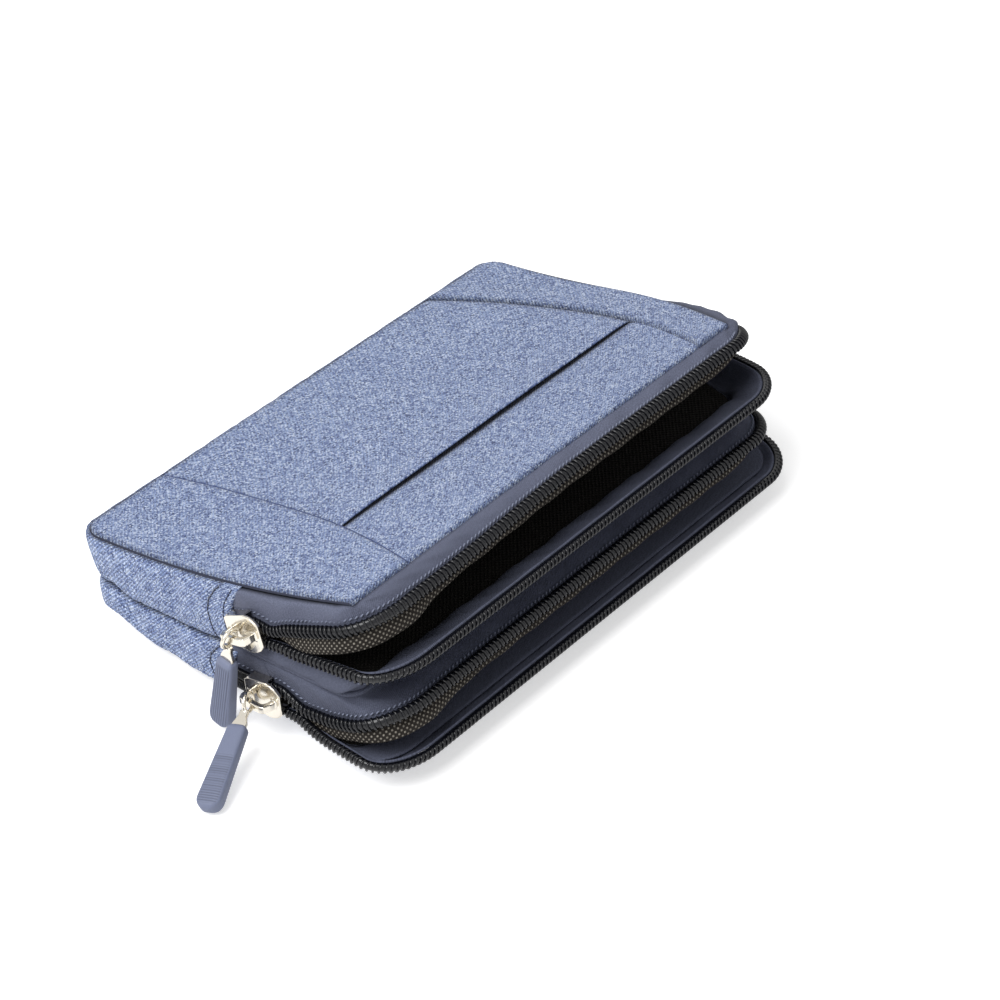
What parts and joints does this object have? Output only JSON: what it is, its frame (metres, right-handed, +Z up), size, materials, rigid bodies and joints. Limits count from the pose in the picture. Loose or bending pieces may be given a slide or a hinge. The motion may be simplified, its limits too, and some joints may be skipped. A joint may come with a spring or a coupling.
{
  "type": "phone belt pouch",
  "caption": "Soft fabric phone belt pouch lying open, with zips round its stacked compartments, a card pocket on the front cover and webbing belt loops on the back.",
  "frame": {"origin": "on the flat outer face of the back panel, half way along the pouch and between its two belt loops", "axes": "+X along the pouch away from the sliders, -Y towards the mouths, +Y towards the closed long edge, +Z up through the front cover"},
  "size_m": [0.1921, 0.1066, 0.0522],
  "materials": {
    "blue_weave": "matte weave",
    "foam": "matte foam",
    "lining": "matte mesh",
    "zip_tape": "matte woven tape",
    "coil_nylon": "gloss",
    "cast_metal": "bright cast",
    "pull_grip": "matte ribbed",
    "webbing": "matte webbing"
  },
  "bodies": {
    "pouch": {"front_panel": "blue_weave", "card_pocket_panel": "blue_weave", "near_overlay": "blue_weave", "far_overlay": "blue_weave", "front_gusset": "blue_weave", "rear_gusset": "blue_weave", "back_panel": "blue_weave", "front_end_tab_near": "blue_weave", "front_end_tab_far": "blue_weave", "rear_end_tab_near": "blue_weave", "rear_end_tab_far": "blue_weave", "front_padding": "foam", "back_padding": "foam", "front_lining": "lining", "rear_lining": "lining", "divider_panel": "zip_tape", "divider_piping": "zip_tape", "front_upper_tape": "zip_tape", "front_lower_tape": "zip_tape", "rear_upper_tape": "zip_tape", "rear_lower_tape": "zip_tape", "front_upper_coil": "coil_nylon", "front_lower_coil": "coil_nylon", "rear_upper_coil": "coil_nylon", "rear_lower_coil": "coil_nylon", "front_slider_body": "cast_metal", "belt_loop_near": "webbing", "belt_loop_far": "webbing"},
    "front_pull": {"front_pull_link": "cast_metal", "front_pull_grip": "pull_grip"},
    "rear_slider": {"rear_slider_body": "cast_metal"},
    "rear_pull": {"rear_pull_link": "cast_metal", "rear_pull_grip": "pull_grip"}
  },
  "joints": [
    {"name": "front_pull_swing", "type": "hinge", "parent": "pouch", "child": "front_pull", "pos_m": [-0.0866, -0.01318, 0.02208], "axis": [0, 0.9511, -0.309], "range_deg": [-8, 160]},
    {"name": "rear_slide", "type": "slide", "parent": "pouch", "child": "rear_slider", "axis": [0, -0.9962, 0.0872], "range_m": [0, 0.02], "deforming": ["rear_upper_tape", "rear_upper_coil", "rear_lower_tape", "rear_lower_coil"]},
    {"name": "rear_pull_swing", "type": "hinge", "parent": "rear_slider", "child": "rear_pull", "pos_m": [-0.0866, -0.01831, 0.00505], "axis": [0, 0.9962, -0.0872], "range_deg": [-60, 110]}
  ]
}
